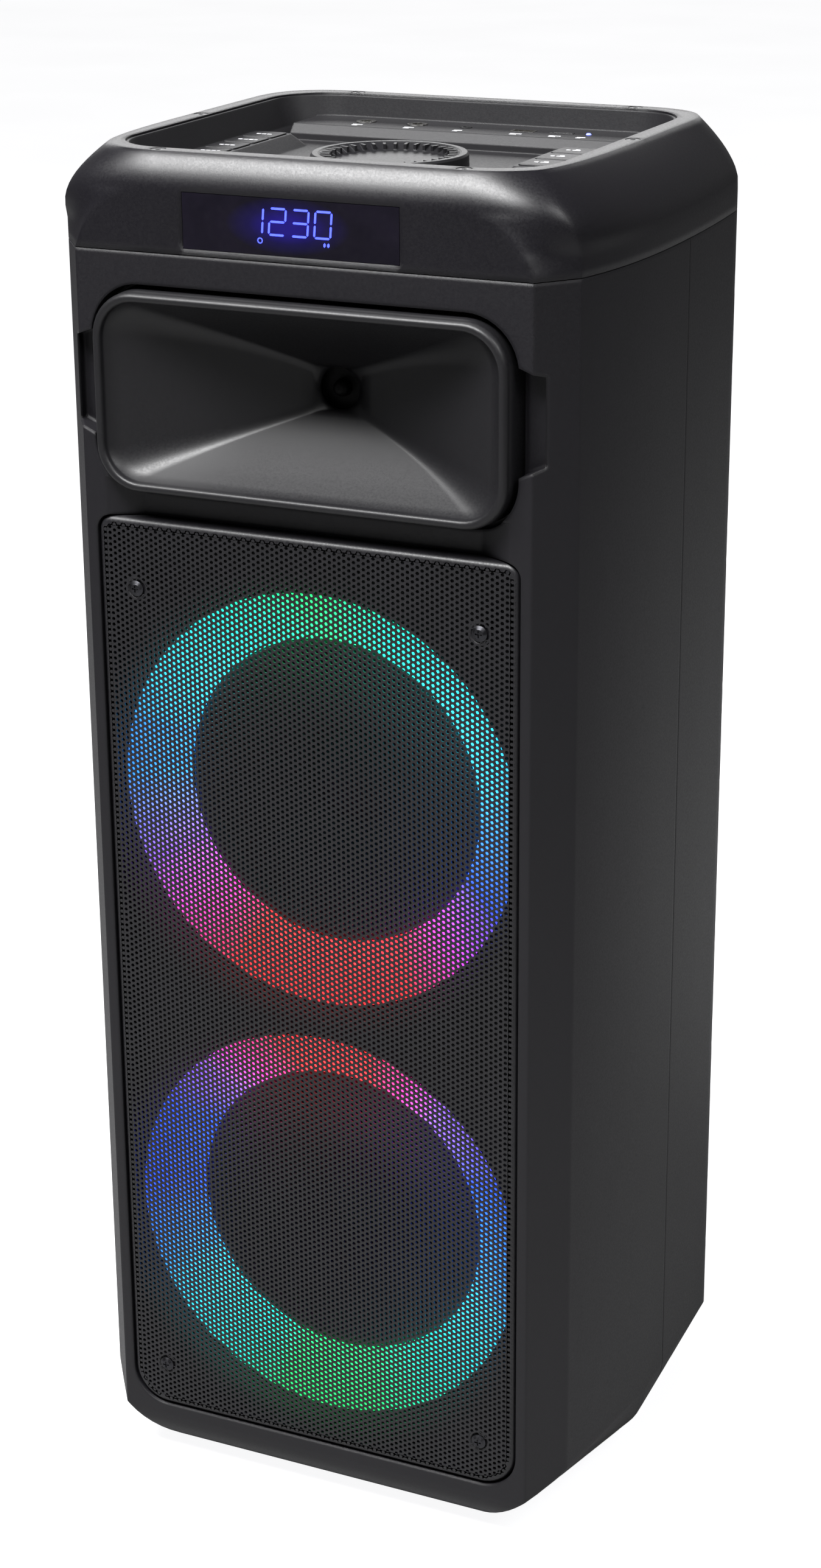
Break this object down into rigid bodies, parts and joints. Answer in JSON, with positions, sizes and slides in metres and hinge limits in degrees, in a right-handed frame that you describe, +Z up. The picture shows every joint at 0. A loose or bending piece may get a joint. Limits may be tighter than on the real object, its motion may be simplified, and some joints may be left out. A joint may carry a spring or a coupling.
{
  "type": "party speaker",
  "caption": "Tall box loudspeaker with a horn over lit woofers behind one grille, a display in its cap and a sunken control panel on top.",
  "frame": {"origin": "on the floor, under the middle of the bounding box", "axes": "+Z up, the front with grille and horn faces -Y, +X is the viewer's right when facing the front"},
  "size_m": [0.3222, 0.2804, 0.793],
  "materials": {
    "cabinet_plastic": "fine textured black ABS",
    "cap_plastic": "satin black ABS",
    "panel_plastic": "matte dark grey ABS",
    "key_plastic": "matte black keys",
    "grille_steel": "black powder coat",
    "horn_plastic": "satin black ABS",
    "window": "smoked gloss acrylic",
    "diffuser": "translucent light ring",
    "led_body": "clear blue light",
    "circuit_board": "solder mask green",
    "basket_steel": "stamped steel, black",
    "ferrite": "ferrite",
    "yoke_steel": "zinc plated",
    "cone_paper": "pressed paper pulp",
    "cloth": "resin treated cloth",
    "rubber": "matte",
    "coil": "former with copper winding",
    "screw_steel": "black oxide",
    "plate_steel": "black paint",
    "aluminium": "extruded",
    "socket_metal": "nickel plated",
    "socket_plastic": "moulded black",
    "battery_wrap": "shrink wrap"
  },
  "bodies": {
    "cabinet": {"front_shell": "cabinet_plastic", "rear_shell": "cabinet_plastic", "top_cap": "cap_plastic", "control_panel": "panel_plastic", "grille": "grille_steel", "grille_screws": "screw_steel", "cap_screws": "screw_steel", "shell_screws": "screw_steel", "woofer_screws": "screw_steel", "rubber_feet": "rubber", "horn_flare": "horn_plastic", "horn_driver": "plate_steel", "display_window": "window", "display_board": "circuit_board", "encoder_body": "yoke_steel", "key_board": "circuit_board", "mic_jack": "socket_metal", "guitar_jack": "socket_metal", "aux_jack": "socket_plastic", "usb_port": "socket_metal", "card_slot": "socket_plastic", "status_light": "led_body", "rear_panel": "plate_steel", "mains_inlet": "socket_plastic", "rocker_bezel": "socket_plastic", "port_tube": "cabinet_plastic", "rear_handle": "cap_plastic", "amplifier_board": "circuit_board", "amplifier_heatsink": "aluminium", "battery_pack": "battery_wrap", "upper_led_diffuser": "diffuser", "upper_led_board": "circuit_board", "upper_woofer_basket": "basket_steel", "upper_woofer_yoke": "yoke_steel", "upper_woofer_magnet": "ferrite", "upper_woofer_surround": "rubber", "upper_woofer_spider": "cloth", "lower_led_diffuser": "diffuser", "lower_led_board": "circuit_board", "lower_woofer_basket": "basket_steel", "lower_woofer_yoke": "yoke_steel", "lower_woofer_magnet": "ferrite", "lower_woofer_surround": "rubber", "lower_woofer_spider": "cloth"},
    "volume_knob": {"volume_knob": "key_plastic", "encoder_shaft": "yoke_steel"},
    "power_rocker": {"power_rocker": "socket_plastic"},
    "left_key_1": {"left_key_1": "key_plastic"},
    "left_key_2": {"left_key_2": "key_plastic"},
    "left_key_3": {"left_key_3": "key_plastic"},
    "left_key_4": {"left_key_4": "key_plastic"},
    "right_key_1": {"right_key_1": "key_plastic"},
    "right_key_2": {"right_key_2": "key_plastic"},
    "right_key_3": {"right_key_3": "key_plastic"},
    "upper_woofer": {"upper_woofer_cone": "cone_paper", "upper_woofer_dust_cap": "cone_paper", "upper_woofer_voice_coil": "coil"},
    "lower_woofer": {"lower_woofer_cone": "cone_paper", "lower_woofer_dust_cap": "cone_paper", "lower_woofer_voice_coil": "coil"}
  },
  "joints": [
    {"name": "volume_turn", "type": "hinge", "parent": "cabinet", "child": "volume_knob", "pos_m": [0, -0.01925, 0.775], "axis": [0, 0, 1], "continuous": true},
    {"name": "left_key_1_press", "type": "slide", "parent": "cabinet", "child": "left_key_1", "axis": [0, 0, -1], "range_m": [0, 0.001], "stiffness_N_per_m": 600, "springref_m": -0.001},
    {"name": "left_key_2_press", "type": "slide", "parent": "cabinet", "child": "left_key_2", "axis": [0, 0, -1], "range_m": [0, 0.001], "stiffness_N_per_m": 600, "springref_m": -0.001},
    {"name": "left_key_3_press", "type": "slide", "parent": "cabinet", "child": "left_key_3", "axis": [0, 0, -1], "range_m": [0, 0.001], "stiffness_N_per_m": 600, "springref_m": -0.001},
    {"name": "left_key_4_press", "type": "slide", "parent": "cabinet", "child": "left_key_4", "axis": [0, 0, -1], "range_m": [0, 0.001], "stiffness_N_per_m": 600, "springref_m": -0.001},
    {"name": "right_key_1_press", "type": "slide", "parent": "cabinet", "child": "right_key_1", "axis": [0, 0, -1], "range_m": [0, 0.001], "stiffness_N_per_m": 600, "springref_m": -0.001},
    {"name": "right_key_2_press", "type": "slide", "parent": "cabinet", "child": "right_key_2", "axis": [0, 0, -1], "range_m": [0, 0.001], "stiffness_N_per_m": 600, "springref_m": -0.001},
    {"name": "right_key_3_press", "type": "slide", "parent": "cabinet", "child": "right_key_3", "axis": [0, 0, -1], "range_m": [0, 0.001], "stiffness_N_per_m": 600, "springref_m": -0.001},
    {"name": "power_rocker_tilt", "type": "hinge", "parent": "cabinet", "child": "power_rocker", "pos_m": [0.045, 0.13225, 0.172], "axis": [1, 0, 0], "range_deg": [-18, 0]},
    {"name": "upper_woofer_stroke", "type": "slide", "parent": "cabinet", "child": "upper_woofer", "axis": [0, -1, 0], "range_m": [-0.005, 0.005], "stiffness_N_per_m": 2400, "deforming": ["upper_woofer_surround", "upper_woofer_spider"]},
    {"name": "lower_woofer_stroke", "type": "slide", "parent": "cabinet", "child": "lower_woofer", "axis": [0, -1, 0], "range_m": [-0.005, 0.005], "stiffness_N_per_m": 2400, "deforming": ["lower_woofer_surround", "lower_woofer_spider"]}
  ]
}
